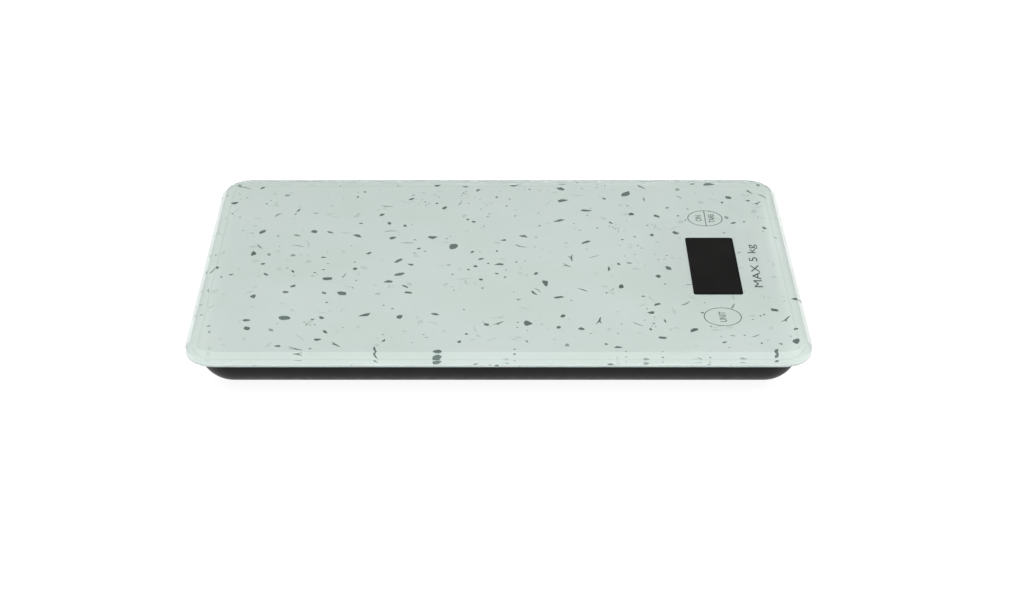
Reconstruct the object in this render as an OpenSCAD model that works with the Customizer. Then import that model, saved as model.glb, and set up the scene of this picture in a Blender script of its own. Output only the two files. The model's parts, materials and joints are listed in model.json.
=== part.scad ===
// Kitchen scale: a glass weighing platform glued to a shallow plastic tray that stands on four
// load-cell feet. Millimetres, +Z up. The origin is on the table, under the middle of the platform.
// The user stands on the -Y side, next to the display.

/* [Platform] */
// Width of the glass platform, from the user's left to right
platform_w = 150; // [148:1:160]
// Length of the glass platform, from the user's side to the back
platform_l = 230; // [228:1:250]
// Thickness of the tempered glass
glass_t = 5; // [4:0.5:6]
// Radius of the platform's corners in plan
corner_r = 12; // [10:1:18]
// Width of the polished bevel round the top of the glass
bevel = 2; // [1:0.1:2.5]

/* [Display and keys] */
// Width of the display window, from left to right
window_w = 48; // [46:0.5:49]
// Height of the display window, from front to back
window_h = 19; // [17:0.5:19]
// Distance between the centres of the two touch keys
key_pitch = 83; // [82:0.5:86]
// Distance of the display and its keys to the left of the platform's middle
display_shift = 1.2; // [0:0.1:1.5]

/* [Tray and feet] */
// Height of the tray, from its underside to its rim
tray_h = 12.4; // [12.4:0.1:12.8]
// Distance from the edge of the glass to the rim of the tray
rim_inset = 4; // [3:0.5:4.5]
// Height of the tray's underside above the table
foot_drop = 2; // [2:0.1:2.4]
// Distance of the feet, and of the display and its keys, from the edges of the glass
foot_inset = 31; // [30.5:0.5:31.5]
// Travel of a foot from no load to its overload stop
foot_travel = 0.4; // [0.2:0.1:0.6]

/* [Hidden] */
$fn = 64;
eps = 0.01;         // overlap that joins the pieces of one solid
slip = 0.05;        // radial clearance between a screw or pad and its hole

CORNERS = [["front_left", -1, -1], ["front_right", 1, -1], ["rear_left", -1, 1], ["rear_right", 1, 1]];
CORNER_PARTS = ["load_cell", "strain_gauge", "cell_clamp", "foot_cup", "foot_pad"];
SIDES = [-1, 1];

// Heights of the stack, from the table up
tray_z = foot_drop;
rim_z = tray_z + tray_h;
tape_t = 0.5;
print_t = 0.1;
window_r = 1.2;
print_z = rim_z + tape_t;
glass_z = print_z + print_t;

// Tray: a quarter circle of radius tray_h turns from the vertical rim to the flat floor
rim_r = 13.4;                      // corner radius of the rim in plan
rim_w = 5;                         // width of the rim's flat top
floor_t = 2;
floor_z = tray_z + floor_t;
tray_x = platform_w / 2 - rim_inset - rim_r;
tray_y = platform_l / 2 - rim_inset - rim_r;
core_r = rim_r - tray_h;           // what is left of the corner radius at the floor
cavity_r = rim_r - rim_w - core_r; // radius of the inside curve
cavity_z = floor_z + cavity_r;

// Load cells, each on its foot
cell_x = platform_w / 2 - foot_inset;
cell_y = platform_l / 2 - foot_inset;
cell_w = 28;
cell_t = 1.5;
cell_z = floor_z + 2.4;
cell_top = cell_z + cell_t;
cell_fit = 0.2;                    // gap around the plate in its pocket
pocket_w = cell_w + 4;
clamp_t = 0.8;
clamp_top = cell_top + clamp_t;
ear_y = 18;                        // clamp screws, from the middle of the cell
tongue_w = 10;
slot_w = 1.6;
cup_r = 10;
cup_gap = 0.4;                     // between the foot cup and the hole in the tray
flange_r = 11.3;
flange_z = floor_z + 0.5;
flange_t = cell_z - foot_travel - flange_z; // at full travel the flange meets the load cell's frame
well_r = flange_r + 0.4;           // room around the flange
post_r = 3;
pad_r = 8.5;
pad_t = 1.8;
pad_show = 0.8;                    // height of the pad that stands out of the cup

// Circuit board and display
board_y = -cell_y;                 // the board lies over the two front load cells
board_z = floor_z + 5;
board_t = 1.6;
board_top = board_z + board_t;
wing = [100, 31];                  // the board's wide part, over the front load cells
tab = [54, 44.5];                  // the board's middle part
tab_y = board_y + 1.75;
board_hole = [22, 19.5];           // the board's screws, from the middle of the tab
lcd = [50, 25, 2];
lcd_y = -0.5;                       // from the middle of the board
lcd_z = rim_z + 0.4 - lcd[2];
holder_wall = 1.8;
spring_r = 3.2;
spring_wire = 0.35;
spring_turns = 3.5;
chip_x = 14;                       // chips under the board, from its middle

// Screws
screw_r = 0.8;
pilot_r = screw_r + slip;
clear_r = 1.1;
head_r = 1.9;
head_t = 1.3;
boss_r = 2.5;

// Battery compartment, in the middle of the floor
door = [34, 28];                   // opening in the floor
door_gap = 0.2;
door_t = 1.6;
case_wall = 1.2;
case_z = floor_z + 4.4;            // ceiling of the compartment
coin_r = 10;
coin_t = 3.2;
coin_z = floor_z + 0.6;
ring_r = coin_r + 0.3;
positive_x = coin_r + 0.2;         // the contact beside the cell
negative_x = -3;                   // the tag of the contact over the cell
contact_t = 0.4;
tag_w = 2;                         // the contacts' tags, which the leads are soldered to
tag_h = 3;
tongue_x = 10;                     // the door's two tongues, from the middle
tongue_r = 5 / 2;                  // half the width of a tongue
tongue_l = 2.8;                    // reach of a tongue past the edge of the opening
lip_t = 1;                         // floor under a tongue
tongue_t = 0.9;
tongue_room = 2.35;                // height in which a tongue swings
nose_r = lip_t / 2;                // the lip's round edge, which the door turns about
hinge_y = -door[1] / 2 - nose_r;
hinge_z = tray_z + nose_r;
latch_w = 8;

// Underside label
label = [50, 30, 0.12];
label_y = 52;

// Stiffeners
rib_t = 1.2;
rib_h = 2.5;
rib_x = 24;
rib_y = 35;
posts = [[40, 28], [-40, 28], [40, -28], [-40, -28], [0, 45], [0, -45]];
post_w = 4;

// Wires, each on a smooth curve through points chosen by hand, with heights above the tray's floor.
// A load cell's route is that of the left-hand side, and is mirrored for the right.
wire_r = 0.4;
wire_pitch = 1.2;
solder_y = board_y + 22.5;         // the row of solder pads at the back of the board
route_front = [[-cell_x, 6 - cell_y, 4.55], [2.4 - cell_x, 9 - cell_y, 4.5],
               [6 - cell_x, 12 - cell_y, 4.45], [7 - cell_x, 17 - cell_y, 4.45],
               [11 - cell_x, 24 - cell_y, 4.4], [-26, solder_y + 6.5, 5],
               [-18, solder_y + 6.5, 6.6], [-15, solder_y + 3.5, 7.2], [-15, solder_y, 7.05]];
route_rear = [[-cell_x, cell_y - 6, 4.55], [2.4 - cell_x, cell_y - 9, 4.5],
              [6 - cell_x, cell_y - 12, 4.45], [7 - cell_x, cell_y - 18, 4.4],
              [11 - cell_x, 50, 4], [-32, 25, 3.5], [-32, 0, 3.5],
              [-31, -25, 3.6], [-22, solder_y + 16, 4.5], [-11, solder_y + 8, 6.4],
              [-8, solder_y + 4, 7.2], [-8, solder_y, 7.05]];
lead_r = 0.45;
lead_end = [[6.6, solder_y + 16, 6.2], [4, solder_y + 7, 6.9],
            [2, solder_y + 3.5, 7.2], [2, solder_y, 7.1]];
route_lead_red = concat([[10.2, -1.5, 6.6], [9.4, -6, 6.3], [7, -20, 6.2]], lead_end);
route_lead_black = concat([[3, -1.5, 6.6], [4, -6, 6.3], [6.6, -20, 6.2]], lead_end);

// ---- Shapes that repeat ----

// Sweeps the children, a 2D profile of radius across and height up, round a rectangle with rounded
// corners whose centres are at +-x and +-y, and fills the middle from z0 to z1.
module rounded_slab(x, y, z0, z1) {
    for (a = [0:3])
        translate([(a == 0 || a == 3 ? x : -x), (a < 2 ? y : -y), 0])
            rotate([0, 0, 90 * a]) rotate_extrude(angle = 90) children();
    for (s = [0, 180]) rotate([0, 0, s]) {
        translate([x, 0, 0]) rotate([90, 0, 0]) linear_extrude(2 * y, center = true) children();
        translate([0, y, 0]) rotate([90, 0, 90]) linear_extrude(2 * x, center = true) children();
    }
    translate([-x, -y, z0]) cube([2 * x, 2 * y, z1 - z0]);
}

// A flat slab of w by l with corners of radius r
module plate(w, l, r, z, t) {
    rounded_slab(w / 2 - r, l / 2 - r, z, z + t) translate([0, z]) square([r, t]);
}

// A block of w by l standing on z, centred in plan
module block(w, l, z, t) {
    translate([-w / 2, -l / 2, z]) cube([w, l, t]);
}

module disc(r, z, t) {
    translate([0, 0, z]) cylinder(r = r, h = t);
}

// A pan-head screw with a cross slot, whose head rests on z
module screw(z, length) {
    slot = [2.4, 0.5, 0.6];
    difference() {
        disc(head_r, z, head_t);
        for (a = [0, 90]) rotate([0, 0, a]) block(slot[0], slot[1], z + head_t - slot[2], slot[2] + 1);
    }
    disc(screw_r, z - length, length + eps);
}

// Places children that are drawn for the front left corner, about the axis of the foot
module at_cell(corner) {
    translate([corner[1] * cell_x, corner[2] * cell_y, 0])
        mirror([corner[1] > 0 ? 1 : 0, 0, 0]) mirror([0, corner[2] > 0 ? 1 : 0, 0]) children();
}

// Places children that are drawn about the middle of the display, at y from the middle of the board
module at_display(y = 0) {
    translate([-display_shift, board_y + y, 0]) children();
}

module at_board_screws() {
    for (x = SIDES, y = SIDES) translate([x * board_hole[0], tab_y + y * board_hole[1], 0]) children();
}

// Catmull-Rom curve through p, with n steps to a span
function curve_point(a, b, c, d, t) =
    0.5 * (2 * b + (c - a) * t + (2 * a - 5 * b + 4 * c - d) * t * t + (3 * b - a - 3 * c + d) * t * t * t);
function curve(p, n) = [
    for (i = [0:len(p) - 2], j = [0:n - 1])
        curve_point(p[max(i - 1, 0)], p[i], p[i + 1], p[min(i + 2, len(p) - 1)], j / n),
    p[len(p) - 1]];
function unit(v) = v / norm(v);
function tangent(p, i) = unit(p[min(i + 1, len(p) - 1)] - p[max(i - 1, 0)]);

// The path that runs beside another, at the given distance to its left in plan
function beside(path, gap) = [
    for (i = [0:len(path) - 1]) path[i] + gap * unit(cross([0, 0, 1], tangent(path, i)))];

// A round tube of radius r along path, with upright rings of the given number of sides
module tube(path, r, sides = 6) {
    rings = [for (i = [0:len(path) - 1])
        let (t = tangent(path, i), across = unit(cross([0, 0, 1], t)), up = cross(t, across))
        for (k = [0:sides - 1])
            path[i] + r * (cos(360 * k / sides) * across + sin(360 * k / sides) * up)];
    last = (len(path) - 1) * sides;
    walls = [for (i = [0:len(path) - 2], k = [0:sides - 1])
        let (a = i * sides + k, b = i * sides + (k + 1) % sides)
        each [[a, a + sides, b + sides], [a, b + sides, b]]];
    start = [for (k = [0:sides - 1]) k];
    end = [for (k = [sides - 1:-1:0]) last + k];
    polyhedron(rings, concat([start], walls, [end]));
}

// ---- Platform ----

// Section of the glass, from the middle of a corner outwards: a bevel above and a fine arris below
module glass_profile() {
    arris = 0.4;
    translate([0, glass_z]) polygon([
        [0, 0], [corner_r - arris, 0], [corner_r, arris], [corner_r, glass_t - bevel],
        [corner_r - bevel, glass_t], [0, glass_t]]);
}

module glass_platform() {
    color([0.82, 0.92, 0.9, 0.4])
        rounded_slab(platform_w / 2 - corner_r, platform_l / 2 - corner_r, glass_z, glass_z + glass_t)
            glass_profile();
}

module printed_layer() {
    margin = 0.5;
    color([0.8, 0.84, 0.82]) difference() {
        plate(platform_w - 2 * margin, platform_l - 2 * margin, corner_r - margin, print_z, print_t);
        at_display() plate(window_w, window_h, window_r, print_z - 1, print_t + 2);
    }
}

module display_window() {
    color([0.1, 0.1, 0.09]) at_display() plate(window_w, window_h, window_r, print_z, print_t);
}

module bonding_tape() {
    edge = 0.4;
    width = rim_w - 2 * edge;
    color([0.92, 0.92, 0.9]) {
        difference() {
            rounded_slab(tray_x, tray_y, rim_z, print_z)
                translate([0, rim_z]) square([rim_r - edge, tape_t]);
            rounded_slab(tray_x, tray_y, rim_z - 1, print_z + 1)
                translate([0, rim_z - 1]) square([rim_r - edge - width, tape_t + 2]);
        }
        for (p = posts) translate(p) disc(post_w - edge, rim_z, tape_t);
    }
}

// ---- Tray ----

module tray_outside() {
    rounded_slab(tray_x, tray_y, tray_z, rim_z) {
        union() {
            translate([0, tray_z]) square([core_r, tray_h]);
            intersection() {
                translate([core_r, rim_z]) circle(tray_h);
                translate([core_r, tray_z]) square(tray_h);
            }
        }
    }
}

module tray_cavity() {
    rounded_slab(tray_x, tray_y, floor_z, rim_z + 1) {
        union() {
            translate([0, floor_z]) square([core_r, rim_z + 1 - floor_z]);
            translate([core_r, cavity_z]) square([cavity_r, rim_z + 1 - cavity_z]);
            intersection() {
                translate([core_r, cavity_z]) circle(cavity_r);
                translate([core_r, floor_z]) square(cavity_r);
            }
        }
    }
}

// Walls that hold a load cell over its foot, with two screw bosses
module cell_pocket() {
    block(pocket_w, pocket_w, floor_z - eps, cell_top - floor_z + eps);
    for (y = SIDES) translate([0, y * ear_y, 0]) disc(boss_r, floor_z - eps, cell_top - floor_z + eps);
}

module cell_pocket_holes() {
    inside = cell_w + 2 * cell_fit;
    disc(cup_r + cup_gap, tray_z - 1, floor_t + 2);
    disc(well_r, floor_z, cell_z - floor_z + eps);
    block(inside, inside, cell_z, cell_t + 1);
    for (y = SIDES) translate([0, y * ear_y, 0]) disc(pilot_r, cell_top - 3, 4);
}

module ribs() {
    front = -55; // ends of the long ribs
    back = 75;
    for (x = SIDES) translate([x * rib_x, (front + back) / 2, 0])
        block(rib_t, back - front, floor_z - eps, rib_h);
    for (y = SIDES) translate([0, y * rib_y, 0]) block(2 * tray_x, rib_t, floor_z - eps, rib_h);
    for (p = posts) translate(p) disc(post_w, floor_z - eps, rim_z - floor_z + eps);
}

module battery_case() {
    block(door[0] + 2 * case_wall, door[1] + 2 * case_wall, floor_z - eps, case_z + case_wall - floor_z);
}

module battery_case_holes() {
    gap = [6, 8];          // opening of the ring wall, at the contact on the cell's side
    latch_h = 2.2;         // slot for the hook of the latch
    contact = [0.9, 2.6];  // slots in the ceiling for the contacts' tags
    scoop_r = 8;
    scoop_w = 12;
    scoop_z = tray_z - 6.8;
    difference() {
        block(door[0], door[1], tray_z - 1, case_z - tray_z + 1);
        difference() {
            disc(ring_r + case_wall, floor_z + 0.4, case_z - floor_z);
            disc(ring_r, floor_z - 1, case_z - floor_z + 2);
            translate([coin_r, 0, 0]) block(gap[0], gap[1], floor_z - 1, case_z - floor_z + 2);
        }
    }
    for (x = SIDES) translate([x * tongue_x, 0, 0]) {
        translate([0, hinge_y - tongue_l / 2, 0])
            block(2 * tongue_r + 1, tongue_l + 1.2, tray_z + lip_t, tongue_room);
        translate([0, hinge_y + nose_r, 0]) block(2 * tongue_r + 1, 2 * nose_r, tray_z - 1, floor_t + 2);
    }
    translate([0, door[1] / 2 + 1, 0]) block(latch_w + 1.2, 2 + eps, floor_z, latch_h);
    for (x = [negative_x, positive_x]) translate([x, 0, 0])
        block(contact[0], contact[1], case_z - 1, case_wall + 2);
    // thumb scoop beside the latch
    translate([0, door[1] / 2 + 4, scoop_z]) rotate([0, 90, 0])
        cylinder(r = scoop_r, h = scoop_w, center = true);
}

// The round edge of the lip under each tongue
module lip_noses() {
    for (x = SIDES) translate([x * tongue_x, hinge_y, hinge_z]) rotate([0, 90, 0])
        cylinder(r = nose_r, h = 2 * tongue_r + 1, center = true);
}

module base_tray() {
    color([0.13, 0.13, 0.13]) {
        lip_noses();
        base_tray_body();
    }
}

module base_tray_body() {
    difference() {
        union() {
            difference() {
                tray_outside();
                tray_cavity();
            }
            for (corner = CORNERS) at_cell(corner) cell_pocket();
            ribs();
            battery_case();
            at_board_screws() disc(boss_r, floor_z - eps, board_z - floor_z + eps);
        }
        for (corner = CORNERS) at_cell(corner) cell_pocket_holes();
        battery_case_holes();
        at_board_screws() disc(pilot_r, board_z - 3.2, 4);
        translate([0, label_y, 0]) block(label[0] + 0.4, label[1] + 0.4, tray_z - 1, 1.2);
    }
}

module rating_label() {
    color([0.72, 0.73, 0.74]) translate([0, label_y, 0])
        block(label[0], label[1], tray_z + 0.2 - label[2], label[2]);
}

// ---- Feet and load cells, drawn about the axis of the foot ----

module foot_pad() {
    color([0.3, 0.3, 0.3]) disc(pad_r, 0, pad_t);
}

module foot_cup() {
    color([0.08, 0.08, 0.08]) difference() {
        union() {
            disc(cup_r, pad_show, flange_z - pad_show + eps);
            disc(flange_r, flange_z, flange_t);
            disc(post_r, flange_z, cell_z - flange_z);
        }
        disc(pad_r + slip, pad_show - 1, pad_t - pad_show + 1);
    }
}

// The tongue is cut free on three sides, and bends at its root, under the gauge
module load_cell() {
    reach = 9.6; // from the foot's axis to the slot round the tongue's tip
    root = 7;    // and to the tongue's root
    corner = 2;
    color([0.75, 0.75, 0.77]) difference() {
        plate(cell_w, cell_w, corner, cell_z, cell_t);
        for (x = SIDES) translate([x * (tongue_w + slot_w) / 2, (root - reach) / 2, 0])
            block(slot_w, root + reach, cell_z - 1, cell_t + 2);
        translate([0, slot_w / 2 - reach, 0]) block(tongue_w + eps, slot_w, cell_z - 1, cell_t + 2);
    }
}

module strain_gauge() {
    film = [6, 4.5, 0.25];
    color([0.85, 0.6, 0.25]) translate([0, 5.5, 0]) block(film[0], film[1], cell_top, film[2]);
}

module cell_clamp() {
    opening = cell_w - 6;
    notch = [7, 8]; // way out for the wires
    notch_x = 6.3;
    color([0.9, 0.9, 0.88]) difference() {
        union() {
            block(pocket_w, pocket_w, cell_top, clamp_t);
            for (y = SIDES) {
                translate([0, y * (ear_y + pocket_w / 2) / 2, 0])
                    block(2 * boss_r, ear_y - pocket_w / 2 + 1, cell_top, clamp_t);
                translate([0, y * ear_y, 0]) disc(boss_r, cell_top, clamp_t);
            }
        }
        block(opening, opening, cell_top - 1, clamp_t + 2);
        for (y = SIDES) translate([0, y * ear_y, 0]) disc(clear_r, cell_top - 1, clamp_t + 2);
        translate([notch_x, cell_w / 2, 0]) block(notch[0], notch[1], cell_top - 1, clamp_t + 2);
    }
}

module clamp_screws() {
    color([0.7, 0.7, 0.72]) for (corner = CORNERS, y = SIDES) at_cell(corner)
        translate([0, y * ear_y, 0]) screw(clamp_top, 3.4);
}

// ---- Circuit board and display ----

module main_board() {
    color([0.1, 0.35, 0.2]) difference() {
        union() {
            translate([0, board_y, 0]) block(wing[0], wing[1], board_z, board_t);
            translate([0, tab_y, 0]) block(tab[0], tab[1], board_z, board_t);
        }
        at_board_screws() disc(clear_r, board_z - 1, board_t + 2);
    }
}

module board_screws() {
    color([0.7, 0.7, 0.72]) at_board_screws() screw(board_top, board_t + 2.8);
}

module lcd_panel() {
    color([0.2, 0.22, 0.2]) at_display(lcd_y) block(lcd[0], lcd[1], lcd_z, lcd[2]);
}

// Behind the panel, from its front edge to the zebra strip
module lcd_backlight() {
    depth = 21;
    color([0.95, 0.95, 0.95]) at_display(lcd_y - 1.9)
        block(lcd[0], depth, board_top + 0.15, lcd_z - board_top - 0.2);
}

module lcd_holder() {
    inside = [lcd[0] + 0.4, lcd[1] + 0.4];
    height = lcd_z + lcd[2] - board_top;
    color([0.12, 0.12, 0.12]) at_display(lcd_y) difference() {
        block(inside[0] + 2 * holder_wall, inside[1] + 2 * holder_wall, board_top, height);
        block(inside[0], inside[1], board_top - 1, height + 2);
    }
}

module zebra_strip() {
    strip = [46, 2];
    color([0.9, 0.55, 0.6]) at_display(lcd_y + 11)
        block(strip[0], strip[1], board_top, lcd_z - board_top);
}

module touch_spring(side) {
    height = print_z - board_top - 2 * spring_wire;
    steps = 12;
    last = spring_turns * steps;
    helix = [for (i = [0:last])
        [spring_r * cos(360 * i / steps), spring_r * sin(360 * i / steps), height * i / last]];
    color([0.8, 0.8, 0.8]) at_display()
        translate([side * key_pitch / 2, 0, board_top + spring_wire]) tube(helix, spring_wire);
}

module processor_blob() {
    height = 1.2;
    radius = 6;
    dome_r = (radius * radius + height * height) / (2 * height);
    color([0.06, 0.06, 0.06]) translate([0, board_y, board_z]) rotate_extrude() intersection() {
        translate([0, dome_r - height]) circle(dome_r, $fn = 400);
        translate([0, -height]) square([radius, height]);
    }
}

module amplifier_chip() {
    body = [4, 8, 1.4];
    lead = [1.2, 0.45, 0.8];
    pitch = 1.1;
    color([0.1, 0.1, 0.1]) translate([chip_x, board_y, 0]) {
        block(body[0], body[1], board_z - body[2] - 0.1, body[2]);
        for (x = SIDES, i = [-3:3]) translate([x * 2.4, i * pitch, 0])
            block(lead[0], lead[1], board_z - lead[2], lead[2]);
    }
}

// A flat can with round ends
module quartz_crystal() {
    can_r = 1.8;
    can_l = 5;
    color([0.8, 0.8, 0.82]) translate([-chip_x, board_y, 0]) {
        block(2 * can_r, can_l, board_z - can_r, can_r);
        for (y = SIDES) translate([0, y * can_l / 2, 0]) disc(can_r, board_z - can_r, can_r);
    }
}

module chip_capacitors() {
    chip = [2, 1.25, 0.8];
    pitch = 8;
    color([0.75, 0.6, 0.4]) for (i = [-2:2]) translate([i * pitch, board_y - 10, 0])
        block(chip[0], chip[1], board_z - chip[2], chip[2]);
}

// ---- Wires ----

// The wire of one colour from every load cell to the board, at place -1, 0 or 1 in the cable
module cell_wires(tint, place) {
    color(tint) for (side = SIDES, route = [route_front, route_rear]) {
        middle = curve([for (p = route) [-side * p[0], p[1], floor_z + p[2]]], 4);
        tube(beside(middle, place * wire_pitch), wire_r);
    }
}

// A lead from the battery to the board, on the given side of the tray
module battery_lead(tint, route, side) {
    color(tint) tube(curve([for (p = route) [side * p[0], p[1], floor_z + p[2]]], 5), lead_r);
}

// ---- Battery and its door ----

module coin_cell() {
    color([0.78, 0.78, 0.8]) {
        disc(coin_r, coin_z, coin_t - 0.4);
        disc(coin_r - 1.2, coin_z, coin_t);
    }
}

module battery_contact_positive() {
    blade = 6;
    low = floor_z + 0.5;
    color([0.8, 0.75, 0.55]) translate([positive_x, 0, 0]) {
        block(contact_t, blade, low, case_z - low);
        block(contact_t, tag_w, case_z - eps, tag_h);
    }
}

module battery_contact_negative() {
    sheet = [8, 8, 0.3];
    dimple_r = 1.5;
    sheet_z = case_z - sheet[2];
    color([0.8, 0.75, 0.55]) {
        block(sheet[0], sheet[1], sheet_z, sheet[2]);
        disc(dimple_r, coin_z + coin_t, sheet_z - coin_z - coin_t + eps);
        translate([negative_x, 0, 0]) block(contact_t, tag_w, case_z - eps, tag_h);
    }
}

// Each tongue lies over the lip of the floor, and its neck goes up round the lip's edge
module battery_door() {
    size = [door[0] - 2 * door_gap, door[1] - 2 * door_gap];
    neck = [2 * tongue_r, 3];
    groove = [12, 0.7, 0.4];
    groove_pitch = 1.6;
    color([0.13, 0.13, 0.13]) difference() {
        union() {
            block(size[0], size[1], tray_z, door_t);
            for (x = SIDES) translate([x * tongue_x - tongue_r, 0, 0]) {
                translate([0, hinge_y - tongue_l + nose_r, tray_z + lip_t + slip])
                    cube([neck[0], 2 * neck[1], tongue_t]);
                translate([0, hinge_y, hinge_z]) cube([neck[0], neck[1], tongue_t + 0.3]);
                translate([0, hinge_y + nose_r + slip, tray_z]) cube([neck[0], neck[1], door_t - 0.1]);
            }
        }
        for (x = SIDES) translate([x * tongue_x, hinge_y, hinge_z]) rotate([0, 90, 0])
            cylinder(r = nose_r + slip, h = 2 * tongue_r + 1, center = true);
        for (i = [0:3]) translate([0, size[1] / 2 - 3 - groove_pitch * i, 0])
            block(groove[0], groove[1], tray_z - 1, 1 + groove[2]);
    }
}

// A leaf that stands on the door, with a hook over the edge of the floor
module door_latch() {
    leaf = [1, 3];
    hook = [1.2, 0.9];
    color([0.13, 0.13, 0.13]) {
        translate([0, door[1] / 2 - leaf[0] - 0.1, 0]) block(latch_w, leaf[0], tray_z + door_t, leaf[1]);
        translate([0, door[1] / 2 - 0.1, 0]) block(latch_w, hook[0], floor_z + slip, hook[1]);
    }
}

// ---- What is drawn ----

glass_platform();
printed_layer();
display_window();
bonding_tape();
base_tray();
rating_label();
main_board();
lcd_panel();
lcd_backlight();
lcd_holder();
zebra_strip();
touch_spring(1);  // touch_spring_on_tare
touch_spring(-1);  // touch_spring_unit
processor_blob();
amplifier_chip();
quartz_crystal();
chip_capacitors();
board_screws();
clamp_screws();
cell_wires("red", -1);  // cell_wires_red
cell_wires("white", 0);  // cell_wires_white
cell_wires([0.1, 0.1, 0.1], 1);  // cell_wires_black
coin_cell();
battery_contact_positive();
battery_contact_negative();
battery_lead("red", route_lead_red, 1);  // battery_lead_red
battery_lead([0.1, 0.1, 0.1], route_lead_black, -1);  // battery_lead_black
battery_door();
door_latch();
for (corner = CORNERS) {
    at_cell(corner) load_cell();
    at_cell(corner) strain_gauge();
    at_cell(corner) cell_clamp();
    at_cell(corner) foot_cup();
    at_cell(corner) foot_pad();
}
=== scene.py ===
"""Looks of the kitchen scale: refracting glass over a stone-chip print, a satin tray and rubber feet,
in soft studio light."""

import json
import math
import random

import bmesh
import bpy
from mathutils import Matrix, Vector


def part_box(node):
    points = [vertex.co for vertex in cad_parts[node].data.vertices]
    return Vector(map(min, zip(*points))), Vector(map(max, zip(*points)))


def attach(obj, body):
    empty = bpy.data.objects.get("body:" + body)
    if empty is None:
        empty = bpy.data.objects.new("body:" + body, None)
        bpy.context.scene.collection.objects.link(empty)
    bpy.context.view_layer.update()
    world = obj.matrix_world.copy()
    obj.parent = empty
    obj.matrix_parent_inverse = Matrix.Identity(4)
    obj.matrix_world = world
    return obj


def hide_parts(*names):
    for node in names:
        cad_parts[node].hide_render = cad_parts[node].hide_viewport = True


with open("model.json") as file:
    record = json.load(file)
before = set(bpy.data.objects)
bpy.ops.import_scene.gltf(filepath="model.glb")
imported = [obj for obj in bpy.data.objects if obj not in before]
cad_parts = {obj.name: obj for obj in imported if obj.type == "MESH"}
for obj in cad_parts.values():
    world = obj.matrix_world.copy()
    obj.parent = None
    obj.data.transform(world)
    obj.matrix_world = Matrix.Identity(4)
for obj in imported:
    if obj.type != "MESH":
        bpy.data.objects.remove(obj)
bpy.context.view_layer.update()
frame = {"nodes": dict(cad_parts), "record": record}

MM = 0.001
NODES = frame["nodes"]
SLOT_OF = {part["node"]: part["material_slot"] for part in frame["record"]["subparts"]}

GLASS_LO, GLASS_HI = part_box("glass_platform")
PRINT_LO, PRINT_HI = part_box("printed_layer")
WINDOW_LO, WINDOW_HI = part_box("display_window")
WINDOW_MIDDLE = (WINDOW_LO + WINDOW_HI) / 2

# The glass's corner radius in plan and the 45-degree bevel round its top, as in the CAD model
CORNER = 12 * MM
BEVEL = 2 * MM
# The ground arris round the bottom of the glass, and the soft edges under and over the bevel
ARRIS = 0.25 * MM
LOWER_ROUND = 0.25 * MM
UPPER_ROUND = 1.4 * MM

# The print is bonded to the glass, so its layers reach a little way into it: light inside the glass
# then meets the ink and not a film of air.
COAT_TOP = GLASS_LO.z + 0.03 * MM
# The top of the painted shadow line of the tray's rim, just above the ground ink
RIM_SHADOW_TOP = COAT_TOP + 0.005 * MM
CHIP_TOP = GLASS_LO.z + 0.05 * MM
WINDOW_TOP = GLASS_LO.z + 0.08 * MM
LEGEND_TOP = GLASS_LO.z + 0.10 * MM
# The chips start a little below the top of the ground ink
CHIP_BOTTOM = PRINT_HI.z - 0.02 * MM

# The ground ink stops this far from the edge of the glass, and the chips this far inside the ink
PRINT_MARGIN = 0.25 * MM
CHIP_MARGIN = 0.3 * MM
# The painted shadow of the tray's rim, a faint dark line round the print, lies between these distances
# from the edge of the glass
RIM_SHADOW_OUTER = 4.2 * MM
RIM_SHADOW_INNER = 5.0 * MM
WINDOW_CORNER = 1.2 * MM

# The middles of the touch keys and of the capacity line, from the middle of the display window
KEY_REACH = 41.4 * MM
CAPACITY_DROP = 16.5 * MM
# The inside radius of a key's ring, and the width of its line
RING_RADIUS = 6.8 * MM
RING_LINE = 0.32 * MM

# Edges sharper than this many degrees stay sharp, on the pieces made here and on the CAD nodes
SHARP_PIECE = 40
SHARP_NODE = 32


# ---- Colours and shader nodes ----

def srgb(r, g, b):
    """Linear RGBA of a colour given as 0 to 255 on a screen."""
    def linear(c):
        c /= 255
        return c / 12.92 if c <= 0.04045 else ((c + 0.055) / 1.055) ** 2.4
    return (linear(r), linear(g), linear(b), 1.0)


def grey(value):
    """Linear RGBA of a grey."""
    return (value, value, value, 1.0)


def link(tree, out_node, out_name, in_node, in_name):
    """Joins a node's output to another node's input, both by name."""
    tree.links.new(out_node.outputs[out_name], in_node.inputs[in_name])


def new_material(name):
    """A new material, its node tree and its Principled shader."""
    material = bpy.data.materials.new(name)
    material.use_nodes = True
    tree = material.node_tree
    return material, tree, tree.nodes["Principled BSDF"]


def noise(tree, scale, detail=3.0, stretch=(1, 1, 1)):
    """A noise texture in the object's own coordinates; scale is in features per metre."""
    place = tree.nodes.new("ShaderNodeTexCoord")
    mapping = tree.nodes.new("ShaderNodeMapping")
    mapping.inputs["Scale"].default_value = stretch
    texture = tree.nodes.new("ShaderNodeTexNoise")
    texture.inputs["Scale"].default_value = scale
    texture.inputs["Detail"].default_value = detail
    link(tree, place, "Object", mapping, "Vector")
    link(tree, mapping, "Vector", texture, "Vector")
    return texture


def ramp(tree, source, stops, output="Fac"):
    """A colour ramp over source's output; stops are (position, colour)."""
    node = tree.nodes.new("ShaderNodeValToRGB")
    elements = node.color_ramp.elements
    for element, (position, colour) in zip(elements, stops):
        element.position = position
        element.color = colour
    for position, colour in stops[len(elements):]:
        elements.new(position).color = colour
    link(tree, source, output, node, "Fac")
    return node


# ---- Materials ----

# Most of a noise texture's values lie in this band, so tones and roughness are spread over it
NOISE_LOW = 0.35
NOISE_SPAN = 0.3
# The patches of a surface's roughness are this many times finer than those of its colour
SHINE_FINENESS = 3.1


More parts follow.
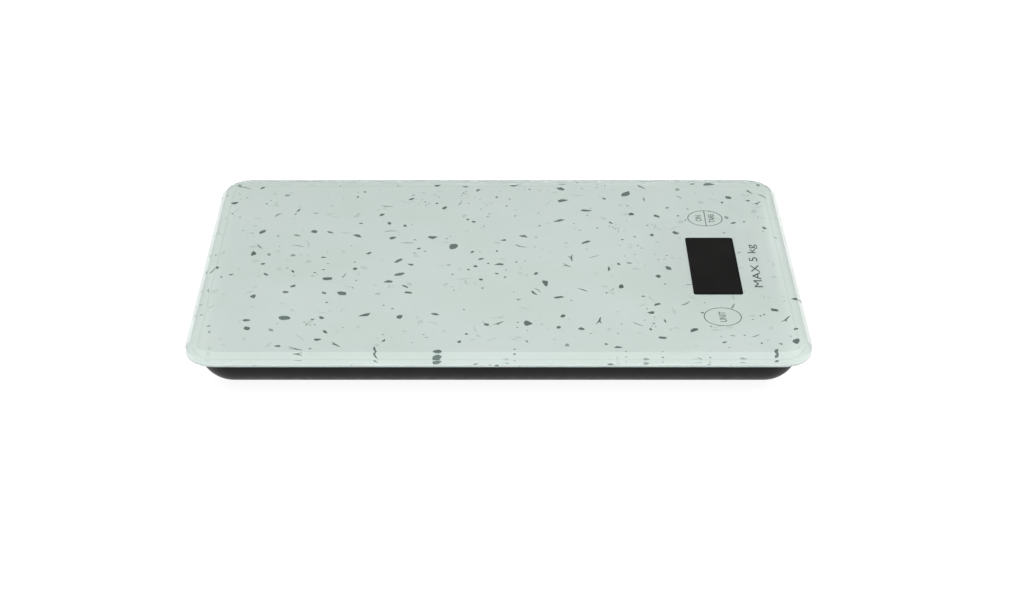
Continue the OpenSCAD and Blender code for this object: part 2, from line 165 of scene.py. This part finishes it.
def add_grain(tree, shader, scale, height, stretch=(1, 1, 1)):
    """Bump of scale features per metre and of the given height in metres."""
    bump = tree.nodes.new("ShaderNodeBump")
    bump.inputs["Distance"].default_value = height
    link(tree, noise(tree, scale, detail=4.0, stretch=stretch), "Fac", bump, "Height")
    link(tree, bump, "Normal", shader, "Normal")


def surface(name, tones, mottle, roughness, grain=None, metallic=0.0, specular=0.5):
    """A material whose tones are mixed in patches of mottle features per metre. roughness is its
    (low, high), and grain is what add_grain takes."""
    material, tree, shader = new_material(name)
    steps = len(tones) - 1
    stops = [(NOISE_LOW + NOISE_SPAN * i / steps, tone) for i, tone in enumerate(tones)]
    link(tree, ramp(tree, noise(tree, mottle), stops), "Color", shader, "Base Color")
    stops = [(NOISE_LOW, grey(roughness[0])), (NOISE_LOW + NOISE_SPAN, grey(roughness[1]))]
    shine = ramp(tree, noise(tree, mottle * SHINE_FINENESS), stops)
    link(tree, shine, "Color", shader, "Roughness")
    if grain:
        add_grain(tree, shader, **grain)
    shader.inputs["Metallic"].default_value = metallic
    shader.inputs["Specular IOR Level"].default_value = specular
    return material


def float_glass(name, roughness):
    """Clear glass with the faint green of its iron, which shows along the long way through the edge."""
    material, tree, shader = new_material(name)
    shader.inputs["Base Color"].default_value = grey(1)
    shader.inputs["Transmission Weight"].default_value = 1.0
    shader.inputs["IOR"].default_value = 1.52
    shine = ramp(tree, noise(tree, scale=60), [(0.4, grey(roughness[0])), (0.7, grey(roughness[1]))])
    link(tree, shine, "Color", shader, "Roughness")
    absorb = tree.nodes.new("ShaderNodeVolumeAbsorption")
    absorb.inputs["Color"].default_value = (0.55, 0.93, 0.95, 1)
    absorb.inputs["Density"].default_value = 7.0
    link(tree, absorb, "Volume", tree.nodes["Material Output"], "Volume")
    return material


def ink(name, *tones):
    """A matt printing ink."""
    return surface(name, tones, mottle=35, roughness=(0.55, 0.65))


def wire_sheath(name, *tones):
    """The smooth plastic round a wire."""
    return surface(name, tones, mottle=400, roughness=(0.4, 0.5))


MATERIALS = {
    # Glass: polished, and ground matt on its arris
    "glass": float_glass("tempered_glass", roughness=(0.0, 0.02)),
    "ground_glass": float_glass("ground_glass", roughness=(0.5, 0.6)),

    # The print: ground, a faint dark line of painted rim shadow round it, four tones of stone chips,
    # legends and the smoked window
    "print": ink("ground_ink", srgb(205, 213, 207), srgb(207, 214, 209), srgb(209, 215, 211)),
    "painted_rim_shadow": ink("rim_shadow_ink", srgb(196, 206, 200), srgb(200, 210, 204)),
    "chip_dark": ink("chip_dark", srgb(74, 88, 84), srgb(88, 103, 98), srgb(98, 112, 106)),
    "chip_mid": ink("chip_mid", srgb(128, 143, 137), srgb(146, 160, 153)),
    "chip_faint": ink("chip_faint", srgb(184, 196, 190), srgb(193, 204, 198)),
    "chip_warm": ink("chip_warm", srgb(192, 202, 190), srgb(197, 207, 198)),
    "legend": ink("legend_ink", srgb(52, 64, 62), srgb(60, 72, 70)),
    "window": surface(
        "smoked_ink", [srgb(10, 9, 8), srgb(16, 15, 14)], mottle=60, roughness=(0.4, 0.5), specular=0.0),

    # Tray, tape, label and feet: fine-grained moulded plastic, foam, film and matt rubber
    "tray": surface(
        "satin_abs", [srgb(25, 24, 25), srgb(30, 28, 29)], mottle=90, roughness=(0.38, 0.46),
        grain=dict(scale=5200, height=0.012 * MM), specular=0.12),
    "tape": surface(
        "foam_tape", [srgb(30, 30, 30), srgb(42, 42, 42)], mottle=900, roughness=(0.8, 0.9),
        grain=dict(scale=2500, height=0.05 * MM)),
    "label": surface(
        "label_film", [srgb(176, 178, 180), srgb(186, 188, 189)], mottle=140, roughness=(0.32, 0.42),
        grain=dict(scale=3000, height=0.004 * MM)),
    "black_plastic": surface(
        "black_abs", [srgb(24, 24, 25), srgb(32, 32, 33)], mottle=160, roughness=(0.4, 0.5),
        grain=dict(scale=5200, height=0.01 * MM)),
    "white_plastic": surface(
        "white_abs", [srgb(214, 214, 209), srgb(226, 226, 222)], mottle=200, roughness=(0.42, 0.52),
        grain=dict(scale=5200, height=0.01 * MM)),
    "foot_rubber": surface(
        "foot_rubber", [srgb(44, 44, 44), srgb(56, 55, 54)], mottle=260, roughness=(0.7, 0.85),
        grain=dict(scale=3600, height=0.02 * MM)),

    # Load cells: rolled steel with foil gauges on it, held by plated screws
    "cell_steel": surface(
        "cell_steel", [srgb(158, 160, 164), srgb(184, 185, 188)], mottle=500, roughness=(0.28, 0.42),
        grain=dict(scale=2200, height=0.01 * MM, stretch=(1, 12, 1)), metallic=1.0),
    "foil_gauge": surface(
        "gauge_film", [srgb(190, 112, 44), srgb(214, 160, 90)], mottle=1600, roughness=(0.25, 0.35)),
    "zinc_screw": surface(
        "zinc_plate", [srgb(168, 172, 178), srgb(196, 196, 188)], mottle=900, roughness=(0.25, 0.4),
        grain=dict(scale=2600, height=0.01 * MM), metallic=1.0),

    # Circuit board and what stands on it: woven glass under green lacquer, resin, ceramic and steel
    "circuit_board": surface(
        "solder_mask", [srgb(20, 86, 48), srgb(30, 104, 60)], mottle=420, roughness=(0.25, 0.38),
        grain=dict(scale=1400, height=0.03 * MM, stretch=(1, 6, 1))),
    "epoxy": surface(
        "cast_epoxy", [srgb(14, 14, 15), srgb(24, 24, 25)], mottle=300, roughness=(0.12, 0.25),
        grain=dict(scale=500, height=0.05 * MM)),
    "ceramic_chip": surface(
        "ceramic_chip", [srgb(170, 132, 96), srgb(196, 190, 180)], mottle=1400, roughness=(0.4, 0.5)),
    "can_steel": surface(
        "can_steel", [srgb(184, 186, 190), srgb(204, 205, 208)], mottle=700, roughness=(0.22, 0.36),
        grain=dict(scale=3000, height=0.003 * MM, stretch=(1, 1, 8)), metallic=1.0),
    "spring_steel": surface(
        "spring_steel", [srgb(176, 177, 178), srgb(198, 198, 199)], mottle=800, roughness=(0.2, 0.34),
        metallic=1.0),

    # Display: polarising film, white light guide and striped rubber connector
    "lcd": surface(
        "polariser", [srgb(84, 90, 80), srgb(92, 98, 86)], mottle=120, roughness=(0.18, 0.25)),
    "light_guide": surface(
        "diffuser", [srgb(226, 227, 224), srgb(236, 236, 233)], mottle=160, roughness=(0.35, 0.5)),
    "elastomer": surface(
        "zebra_rubber", [srgb(214, 150, 158), srgb(120, 80, 86)], mottle=2600, roughness=(0.6, 0.7)),

    # Wires, coin cell and its contacts
    "red_wire": wire_sheath("red_pvc", srgb(150, 22, 22), srgb(176, 34, 30)),
    "white_wire": wire_sheath("white_pvc", srgb(216, 216, 210), srgb(230, 230, 226)),
    "black_wire": wire_sheath("black_pvc", srgb(24, 24, 25), srgb(36, 36, 37)),
    "battery_steel": surface(
        "battery_steel", [srgb(186, 187, 189), srgb(206, 206, 206)], mottle=260, roughness=(0.24, 0.36),
        grain=dict(scale=2400, height=0.004 * MM, stretch=(10, 1, 1)), metallic=1.0),
    "nickel_contact": surface(
        "nickel_contact", [srgb(190, 184, 166), srgb(212, 206, 190)], mottle=700, roughness=(0.22, 0.32),
        metallic=1.0),

    # Studio floor
    "floor": surface(
        "light_table", [grey(0.11), grey(0.12)], mottle=3, roughness=(0.7, 0.8), specular=0.1),
}


# ---- Meshes ----

def finish_mesh(name, bm, material):
    """A new object from bm, smooth except at its sharp edges."""
    bmesh.ops.recalc_face_normals(bm, faces=bm.faces)
    mesh = bpy.data.meshes.new(name)
    bm.to_mesh(mesh)
    bm.free()
    mesh.shade_smooth()
    mesh.set_sharp_from_angle(angle=math.radians(SHARP_PIECE))
    mesh.materials.append(MATERIALS[material])
    piece = bpy.data.objects.new(name, mesh)
    bpy.context.scene.collection.objects.link(piece)
    return piece


def finish_print(name, bm, material):
    """Makes bm into a piece of the print under the glass."""
    piece = finish_mesh(name, bm, material)
    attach(piece, "platform")


def rounded_outline(middle, half, radius, inset, steps):
    """Points round a rectangle with round corners, moved in by inset, anticlockwise."""
    r = max(radius - inset, 0.0)
    centre_x = half[0] - radius
    centre_y = half[1] - radius
    points = []
    for quarter, (sx, sy) in enumerate(((1, 1), (-1, 1), (-1, -1), (1, -1))):
        for i in range(steps + 1):
            a = math.radians(90 * (quarter + i / steps))
            x = sx * centre_x + r * math.cos(a)
            y = sy * centre_y + r * math.sin(a)
            points.append((middle[0] + x, middle[1] + y))
    return points


def circle(x, y, radius, steps=96):
    """Points round a circle, anticlockwise."""
    angles = [2 * math.pi * i / steps for i in range(steps)]
    return [(x + radius * math.cos(a), y + radius * math.sin(a)) for a in angles]


def add_walls(bm, low, high):
    """Faces between two rings of vertices."""
    for i in range(len(low)):
        j = (i + 1) % len(low)
        bm.faces.new((low[i], low[j], high[j], high[i]))


def add_rings(bm, levels):
    """A ring of vertices for each (points, z)."""
    return [[bm.verts.new((x, y, z)) for x, y in points] for points, z in levels]


def add_stack(bm, levels):
    """A closed solid through a stack of (points, z), from its bottom face to its top face."""
    rings = add_rings(bm, levels)
    for low, high in zip(rings, rings[1:]):
        add_walls(bm, low, high)
    bm.faces.new(rings[0][::-1])
    bm.faces.new(rings[-1])


def add_prism(bm, points, low, high):
    """A closed solid with the same outline at its bottom and its top."""
    add_stack(bm, [(points, low), (points, high)])


def add_band(bm, levels):
    """A closed band through (points, z), whose last level joins its first."""
    rings = add_rings(bm, levels)
    for low, high in zip(rings, rings[1:] + rings[:1]):
        add_walls(bm, low, high)


def plate(name, material, middle, half, radius, profile, steps):
    """A closed plate with round corners. half is its half size in X and Y, and profile holds its
    (inset, z) from the bottom face to the top face."""
    bm = bmesh.new()
    add_stack(bm, [(rounded_outline(middle, half, radius, inset, steps), z) for inset, z in profile])
    return finish_mesh(name, bm, material)


# ---- Glass ----

def edge_arc(start, end, radius, steps):
    """Points (inset, z) of an arc on the edge of the glass. start and end are degrees from the upright
    side, 0, to the flat top, 90, and the arc begins at inset 0 and z 0."""
    a0 = math.radians(start)
    points = []
    for i in range(steps + 1):
        a = math.radians(start + (end - start) * i / steps)
        points.append((radius * (math.cos(a0) - math.cos(a)), radius * (math.sin(a) - math.sin(a0))))
    return points


def edge_profile():
    """Points (inset, z) of the edge of the glass, from its bottom face to its top face."""
    low = GLASS_LO.z
    high = GLASS_HI.z
    # a level close to an edge keeps the smooth shading near it
    hold = 0.1 * MM
    arris = [(3 * MM, low), (ARRIS + hold, low), (ARRIS, low), (0, low + ARRIS), (0, low + ARRIS + hold)]
    # each arc is tangent to the faces that it joins, so it takes tan(22.5 degrees) of its radius from both
    take = math.tan(math.radians(22.5))
    start = high - BEVEL - LOWER_ROUND * take
    lower = [(x, start + z) for x, z in edge_arc(0, 45, LOWER_ROUND, 6)]
    end = BEVEL + UPPER_ROUND * take
    arc = edge_arc(45, 90, UPPER_ROUND, 8)
    run, rise = arc[-1]
    upper = [(end - run + x, high - rise + z) for x, z in arc]
    top = [(end + 0.15 * MM, high), (end + 2 * MM, high)]
    return arris + lower + upper + top


def make_glass_plate():
    """The platform's glass, polished but for its arris, which is ground and left matt."""
    half = (GLASS_HI.x, GLASS_HI.y)
    glass = plate("glass_plate", "glass", (0, 0), half, CORNER, edge_profile(), steps=32)
    glass.data.materials.append(MATERIALS["ground_glass"])
    for face in glass.data.polygons:
        sloping = abs(face.normal.z) > 0.1
        if sloping and GLASS_LO.z < face.center.z < GLASS_LO.z + ARRIS:
            face.material_index = 1
    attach(glass, "platform")
    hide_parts("glass_platform")


# ---- Ground ink, line round it and display window ----

def make_ground():
    """The pale ground ink."""
    half = (GLASS_HI.x - PRINT_MARGIN, GLASS_HI.y - PRINT_MARGIN)
    profile = [(0, PRINT_LO.z), (0, COAT_TOP)]
    coat = plate("ground_print", "print", (0, 0), half, CORNER - PRINT_MARGIN, profile, steps=24)
    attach(coat, "platform")
    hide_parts("printed_layer")


def make_painted_rim_shadow():
    """A faint dark line round the print: painted shade of the tray's rim, seen through the ink."""
    section = ((RIM_SHADOW_OUTER, PRINT_HI.z), (RIM_SHADOW_OUTER, RIM_SHADOW_TOP),
               (RIM_SHADOW_INNER, RIM_SHADOW_TOP), (RIM_SHADOW_INNER, PRINT_HI.z))
    half = (GLASS_HI.x, GLASS_HI.y)
    bm = bmesh.new()
    add_band(bm, [(rounded_outline((0, 0), half, CORNER, inset, steps=16), z) for inset, z in section])
    # a darker ink where the tray's rim shades the print: painted shadow
    finish_print("painted_rim_shadow", bm, "painted_rim_shadow")


def make_window():
    """The smoked window over the display."""
    half = (WINDOW_HI - WINDOW_LO) / 2
    profile = [(0, PRINT_LO.z), (0, WINDOW_TOP)]
    window = plate("window_print", "window", WINDOW_MIDDLE, half, WINDOW_CORNER, profile, steps=10)
    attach(window, "platform")
    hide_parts("display_window")


# ---- Shapes of the stone chips ----

def softened(points):
    """The outline with its corners cut a little, so that they look worn."""
    cut = 0.13
    out = []
    for i, p in enumerate(points):
        q = points[(i + 1) % len(points)]
        for t in (cut, 1 - cut):
            out.append(((1 - t) * p[0] + t * q[0], (1 - t) * p[1] + t * q[1]))
    return out


def flake(rng, length, slimness):
    """Outline of an angular flake about the origin."""
    corners = rng.randint(4, 7)
    jitter = 0.36
    points = []
    for i in range(corners):
        a = 2 * math.pi * (i + rng.uniform(-jitter, jitter)) / corners
        r = 0.5 * length * rng.uniform(0.55, 1.1)
        points.append((r * math.cos(a), r * math.sin(a) / slimness))
    return softened(points)


def flakes(low, high):
    """A shape for scatter: flakes whose slimness lies between low and high."""
    def shape(rng, length):
        return flake(rng, length, rng.uniform(low, high))
    return shape


def splinter(rng, length):
    """Outline of a thin bent splinter about the origin."""
    bend = rng.uniform(-0.16, 0.16) * length
    width = rng.uniform(0.3, 0.5) * MM

    def middle(t):
        return bend * (1 - 4 * t * t)

    # places along the splinter, from -0.5 to 0.5, and its half width there
    stations = [(-0.5, 0.15), (-0.25, 0.8), (0.05, 1.0), (0.3, rng.uniform(0.5, 1.3)), (0.5, 0.1)]
    upper = [(t * length, middle(t) + w * width) for t, w in stations]
    lower = [(t * length, middle(t) - w * width) for t, w in reversed(stations)]
    return softened(upper + lower)


def fork(rng, length):
    """Outline of a splinter that splits in two, like a Y."""
    w = rng.uniform(0.32, 0.45) * MM
    split = rng.uniform(-0.1, 0.15) * length
    spread = rng.uniform(0.1, 0.22) * length
    short = rng.uniform(0.25, 0.42) * length
    end = 0.5 * length
    long_arm = [(split, -w), (end, -spread - 0.3 * w), (end, -spread + 0.4 * w)]
    short_arm = [(split + 1.2 * w, 0.1 * w), (short, spread), (short - w, spread + 0.6 * w), (split, w)]
    return softened([(-end, -0.4 * w)] + long_arm + short_arm + [(-end, 0.5 * w)])


def turned(points, angle, x, y):
    """The outline turned by angle and moved to x, y."""
    c = math.cos(angle)
    s = math.sin(angle)
    return [(x + c * px - s * py, y + s * px + c * py) for px, py in points]


def on_print(points):
    """True where every point lies on the print, well inside its edge and its round corners."""
    reach = CORNER - PRINT_MARGIN - CHIP_MARGIN
    for x, y in points:
        dx = abs(x) - (GLASS_HI.x - CORNER)
        dy = abs(y) - (GLASS_HI.y - CORNER)
        past_corner = dx >= 0 and dy >= 0 and math.hypot(dx, dy) >= reach
        if max(dx, dy) >= reach or past_corner:
            return False
    return True


# ---- Scattering the chips ----

# The weights of tones given to scatter and dust follow this order
CHIP_TONES = ("chip_dark", "chip_mid", "chip_faint", "chip_warm")
# How often a free place is looked for before a chip is left out
TRIES = 40
# Steps of the golden ratio spread the chips' heights evenly
GOLDEN_STEP = 0.618034


def keep_clear():
    """Circles (x, y, radius) that cover the keys, the display window and the capacity line."""
    x = WINDOW_MIDDLE.x
    y = WINDOW_MIDDLE.y
    step = 6 * MM
    keys = [(x + side * KEY_REACH, y, 5 * MM) for side in (-1, 1)]
    window = [(x + i * step, y, 8 * MM) for i in range(-3, 4)]
    capacity = [(i * step, y - CAPACITY_DROP, 3 * MM) for i in range(-3, 4)]
    return keys + window + capacity


class Chips:
    """Stone chips laid at random on the print, as thin closed flakes in one mesh for each tone."""

    def __init__(self, seed):
        self.rng = random.Random(seed)
        self.sheets = {tone: bmesh.new() for tone in CHIP_TONES}
        self.taken = keep_clear()
        self.count = 0

    def spot(self):
        """A random place on the print."""
        x = self.rng.uniform(-PRINT_HI.x, PRINT_HI.x)
        y = self.rng.uniform(-PRINT_HI.y, PRINT_HI.y)
        return x, y

    def free_spot(self, room):
        """A random place that is room away from what is taken, or None."""
        for _ in range(TRIES):
            x, y = self.spot()
            if all(math.hypot(x - px, y - py) > room + r for px, py, r in self.taken):
                return x, y
        return None

    def put(self, tone, outline, x, y):
        """One chip at a random angle, unless it would pass the edge of the print."""
        points = turned(outline, self.rng.uniform(0, math.pi), x, y)
        if on_print(points):
            # each chip has its own height, so that no two tops lie in one plane
            lowest = 0.3
            share = lowest + (1 - lowest) * (self.count * GOLDEN_STEP % 1.0)
            top = COAT_TOP + share * (CHIP_TOP - COAT_TOP)
            add_prism(self.sheets[tone], points, CHIP_BOTTOM, top)
            self.count += 1

    def scatter(self, number, weights, sizes, shape, room):
        """Chips of the given weights of tones and range of sizes in mm. room is the clear space round
        a chip as a share of its length, and chips with none may lie on each other."""
        for _ in range(number):
            length = self.rng.uniform(*sizes) * MM
            place = self.free_spot(room * length)
            if place is None:
                continue
            tone = self.rng.choices(CHIP_TONES, weights)[0]
            self.put(tone, shape(self.rng, length), *place)
            if room:
                self.taken.append((*place, room * length))

    def dust(self, clouds, weights, sizes, specks, spread):
        """Clouds of specks of the given weights of tones and range of sizes in mm. specks is the range of
        their number in a cloud, and spread is how far they lie about its middle."""
        for _ in range(clouds):
            x, y = self.spot()
            for _ in range(self.rng.randint(*specks)):
                tone = self.rng.choices(CHIP_TONES, weights)[0]
                speck = flake(self.rng, self.rng.uniform(*sizes) * MM, slimness=1.4)
                self.put(tone, speck, self.rng.gauss(x, spread), self.rng.gauss(y, spread))

    def finish(self):
        """Makes the sheets into pieces."""
        for tone, bm in self.sheets.items():
            finish_print("print_" + tone, bm, tone)


def make_chips():
    """The stone-chip pattern: large flakes first, then smaller ones, then faint ones and dust."""
    chips = Chips(seed=11)
    chips.scatter(38, (1, 0, 0, 0), (4.2, 6.4), flakes(1.3, 2.1), room=0.7)
    chips.scatter(105, (5, 2, 0, 0), (2.2, 4.0), flakes(1.1, 2.0), room=0.6)
    chips.scatter(20, (4, 3, 1, 0), (3.5, 6.0), splinter, room=0.5)
    chips.scatter(12, (4, 2, 0, 0), (4.0, 6.5), fork, room=0.5)
    chips.scatter(170, (4, 3, 0, 0), (0.8, 1.9), flakes(1.0, 2.0), room=0.6)
    chips.scatter(170, (0, 0, 4, 3), (1.5, 4.5), flakes(1.2, 2.4), room=0.0)
    chips.scatter(60, (0, 1, 4, 2), (3.5, 7.0), splinter, room=0.0)
    chips.dust(16, (2, 3, 3, 0), (0.4, 1.3), specks=(6, 14), spread=2.6 * MM)
    chips.finish()


# ---- Key rings and legends ----

def make_ring(name, x, y, divided=False):
    """The printed ring round a touch key, with a line across it where the key has two uses."""
    outer = RING_RADIUS + RING_LINE
    section = ((RING_RADIUS, PRINT_HI.z), (outer, PRINT_HI.z),
               (outer, LEGEND_TOP), (RING_RADIUS, LEGEND_TOP))
    bm = bmesh.new()
    add_band(bm, [(circle(x, y, r), z) for r, z in section])
    if divided:
        half = RING_LINE / 2
        line = [(x - RING_RADIUS, y - half), (x + RING_RADIUS, y - half),
                (x + RING_RADIUS, y + half), (x - RING_RADIUS, y + half)]
        add_prism(bm, line, PRINT_HI.z, LEGEND_TOP)
    finish_print(name, bm, "legend")


def text_mesh(name, words):
    """The mesh of some words in Blender's own font, at any size and depth."""
    curve = bpy.data.curves.new(name, "FONT")
    curve.body = words
    curve.align_x = "CENTER"
    curve.extrude = 0.5
    source = bpy.data.objects.new(name + "_text", curve)
    bpy.context.scene.collection.objects.link(source)
    bpy.context.view_layer.update()
    mesh = bpy.data.meshes.new_from_object(source.evaluated_get(bpy.context.evaluated_depsgraph_get()))
    bpy.data.objects.remove(source)
    return mesh


def make_legend(name, words, x, y, height, width):
    """Words laid flat in the ink, centred on x, y and fitted to the given height and width."""
    mesh = text_mesh(name, words)
    low = Vector(min(v.co[i] for v in mesh.vertices) for i in range(3))
    high = Vector(max(v.co[i] for v in mesh.vertices) for i in range(3))
    depth = LEGEND_TOP - PRINT_HI.z
    for v in mesh.vertices:
        v.co.x = x + (v.co.x - (low.x + high.x) / 2) * width / (high.x - low.x)
        v.co.y = y + (v.co.y - (low.y + high.y) / 2) * height / (high.y - low.y)
        v.co.z = PRINT_HI.z + depth * (v.co.z - low.z) / (high.z - low.z)
    bm = bmesh.new()
    bm.from_mesh(mesh)
    bmesh.ops.remove_doubles(bm, verts=bm.verts, dist=1e-7)
    bpy.data.meshes.remove(mesh)
    finish_print(name, bm, "legend")


def make_keys():
    """The rings and words of the two touch keys, and the capacity line beside the display window."""
    x = WINDOW_MIDDLE.x
    y = WINDOW_MIDDLE.y
    tare = x + KEY_REACH
    unit = x - KEY_REACH
    make_ring("ring_on_tare", tare, y, divided=True)
    make_ring("ring_unit", unit, y)
    make_legend("legend_on", "ON", tare, y + 2.7 * MM, height=2.5 * MM, width=5.2 * MM)
    make_legend("legend_tare", "TARE", tare, y - 2.6 * MM, height=2.4 * MM, width=7.8 * MM)
    make_legend("legend_unit", "UNIT", unit, y, height=2.6 * MM, width=7.8 * MM)
    make_legend("legend_capacity", "MAX 5 kg", x, y - CAPACITY_DROP, height=4.3 * MM, width=36 * MM)


# ---- CAD nodes that stay ----

def dress_cad_nodes():
    """Gives each CAD node the material of its slot."""
    for name, node in NODES.items():
        node.data.materials.clear()
        node.data.materials.append(MATERIALS[SLOT_OF[name]])
        node.data.shade_smooth()
        node.data.set_sharp_from_angle(angle=math.radians(SHARP_NODE))


# ---- Studio ----

def make_floor():
    """A white floor that glows like a light table, so that it stays white under the soft lamps."""
    shader = MATERIALS["floor"].node_tree.nodes["Principled BSDF"]
    shader.inputs["Emission Color"].default_value = grey(1)
    shader.inputs["Emission Strength"].default_value = 0.93
    bm = bmesh.new()
    bmesh.ops.create_grid(bm, x_segments=1, y_segments=1, size=4.0)
    floor = finish_mesh("floor", bm, "floor")


def make_world():
    """Studio surroundings: dark walls, and a pale ceiling."""
    world = bpy.data.worlds.new("studio")
    bpy.context.scene.world = world
    world.use_nodes = True
    tree = world.node_tree
    place = tree.nodes.new("ShaderNodeTexCoord")
    parts = tree.nodes.new("ShaderNodeSeparateXYZ")
    link(tree, place, "Generated", parts, "Vector")
    # the ramps go from 0 at the horizon to 1 straight up
    walls = [(0.0, grey(0.25)), (0.25, grey(0.12)), (0.56, grey(0.12))]
    ceiling = [(0.68, grey(0.8)), (1.0, grey(1.15))]
    background = tree.nodes["Background"]
    background.inputs["Strength"].default_value = 1.0
    link(tree, ramp(tree, parts, walls + ceiling, "Z"), "Color", background, "Color")


def soft_lamp(name, place, power):
    """A square lamp aimed at the origin, screened so that the glass doesn't mirror its outline."""
    data = bpy.data.lights.new(name, "AREA")
    data.shape = "SQUARE"
    data.size = 1.3
    data.energy = power
    lamp = bpy.data.objects.new(name, data)
    lamp.location = place
    lamp.visible_glossy = False
    lamp.rotation_euler = (-Vector(place)).to_track_quat("-Z", "Y").to_euler()
    bpy.context.scene.collection.objects.link(lamp)


def make_lamps():
    """One lamp above each end of the scale, the stronger one on the right."""
    for name, side, power in (("right", -1, 30), ("left", 1, 21)):
        soft_lamp(name, (-0.38, side * 0.95, 1.15), power)


def make_camera():
    """Seen from the scale's left long side, from above, with the display at the right."""
    pitch = math.radians(28.54)
    distance = 778.2 * MM
    height = 403.8 * MM
    data = bpy.data.cameras.new("camera")
    data.lens = 79.2
    data.sensor_width = 36
    data.sensor_fit = "HORIZONTAL"
    data.shift_x = 0.01
    data.clip_start = 0.01
    camera = bpy.data.objects.new("camera", data)
    camera.location = (-distance, 0, GLASS_HI.z + height)
    towards = Vector((math.cos(pitch), 0, -math.sin(pitch)))
    camera.rotation_euler = towards.to_track_quat("-Z", "Y").to_euler()
    bpy.context.scene.collection.objects.link(camera)
    bpy.context.scene.camera = camera


make_camera()
dress_cad_nodes()
make_glass_plate()
make_ground()
make_painted_rim_shadow()
make_window()
make_chips()
make_keys()
make_floor()
make_world()
make_lamps()
bpy.context.scene.view_settings.view_transform = "Standard"
